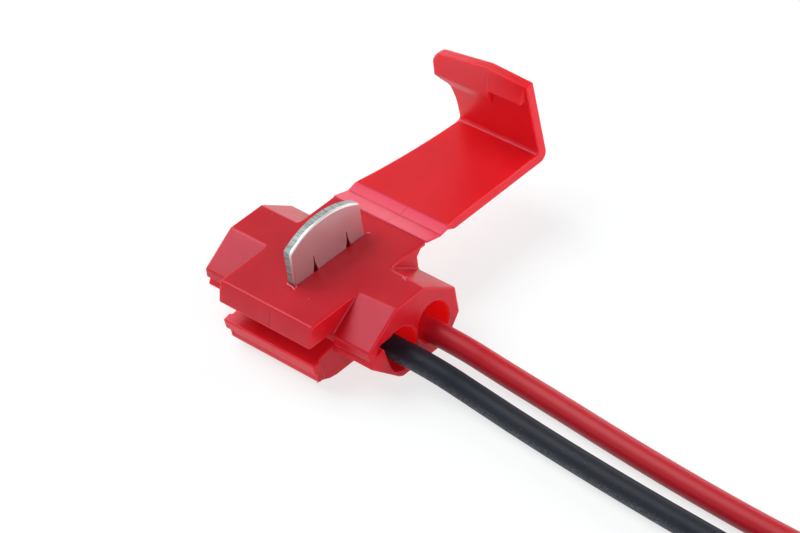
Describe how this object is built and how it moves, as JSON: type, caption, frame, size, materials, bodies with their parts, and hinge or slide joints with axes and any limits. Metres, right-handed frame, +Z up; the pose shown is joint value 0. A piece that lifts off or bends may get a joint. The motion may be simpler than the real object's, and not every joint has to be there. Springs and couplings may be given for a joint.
{
  "type": "wire tap splice connector",
  "caption": "Folding plastic tap connector joining a branch wire to a run wire with a slotted press-in contact blade, shown open with both wires laid in.",
  "frame": {"origin": "on the underside of the housing, below the middle of the blade slot", "axes": "+X along the bores towards the end both wires leave by, +Y towards the hinged cover, +Z up, away from the underside"},
  "size_m": [0.0805, 0.034, 0.016],
  "materials": {
    "red_polypropylene": "smooth, slightly translucent moulded red polypropylene",
    "tinned_brass": "bright tin plating over brass",
    "red_insulation": "satin red insulation",
    "black_insulation": "matte black insulation with pale dust",
    "copper_strands": "bare twisted copper strands"
  },
  "bodies": {
    "housing": {"housing_body": "red_polypropylene", "red_wire_end": "red_insulation", "red_core_end": "copper_strands", "red_wire": "red_insulation", "red_wire_strands": "copper_strands", "black_wire_end": "black_insulation", "black_core_end": "copper_strands", "black_wire": "black_insulation", "black_wire_strands": "copper_strands"},
    "jaw": {"clamp_jaw": "red_polypropylene"},
    "cover": {"folding_cover": "red_polypropylene"},
    "blade": {"contact_blade": "tinned_brass"}
  },
  "joints": [
    {"name": "cover_fold", "type": "hinge", "parent": "housing", "child": "cover", "pos_m": [0, 0.0073, 0.0076], "axis": [1, 0, 0], "range_deg": [-15, 180]},
    {"name": "jaw_close", "type": "hinge", "parent": "housing", "child": "jaw", "pos_m": [0, -0.0001, 0.00018], "axis": [-1, 0, 0], "range_deg": [-0.8, 9.5]},
    {"name": "blade_press", "type": "slide", "parent": "housing", "child": "blade", "axis": [0, 0, -1], "range_m": [-0.00039, 0.00465], "deforming": ["red_wire_end", "red_core_end", "black_wire_end", "black_core_end"]}
  ],
  "couplings": [
    {"joint": "cover_fold", "follows": "blade_press", "rad_per_m": 675.61},
    {"joint": "jaw_close", "follows": "blade_press", "rad_per_m": 35.657}
  ]
}
